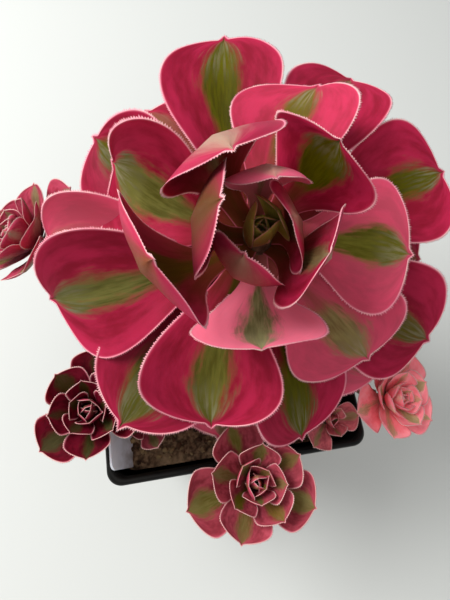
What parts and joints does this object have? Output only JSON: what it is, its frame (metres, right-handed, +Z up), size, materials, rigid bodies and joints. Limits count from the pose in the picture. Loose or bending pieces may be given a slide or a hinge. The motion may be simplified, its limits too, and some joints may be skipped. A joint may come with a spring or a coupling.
{
  "type": "potted aeonium",
  "caption": "Crimson and green aeonium in a square black nursery pot: one large leaf rosette with small side rosettes on a branched stem, potting mix and a blank label.",
  "frame": {"origin": "middle of the underside of the pot", "axes": "+Z up; -Y towards the pot side that faces the viewer, over which the largest side rosette hangs; +X to the viewer's right"},
  "size_m": [0.1547, 0.1549, 0.1805],
  "materials": {
    "pot": "satin",
    "potting_mix": "rough",
    "label": "satin",
    "stem": "rough",
    "leaf": "satin"
  },
  "bodies": {
    "root": {"pot": "pot", "potting_soil": "potting_mix", "plant_label": "label", "stem": "stem", "main_rosette": "leaf", "rosette_front": "leaf", "rosette_lower_left": "leaf", "rosette_left": "leaf", "rosette_right": "leaf", "rosette_small_left": "leaf", "rosette_small_right": "leaf"}
  },
  "joints": []
}
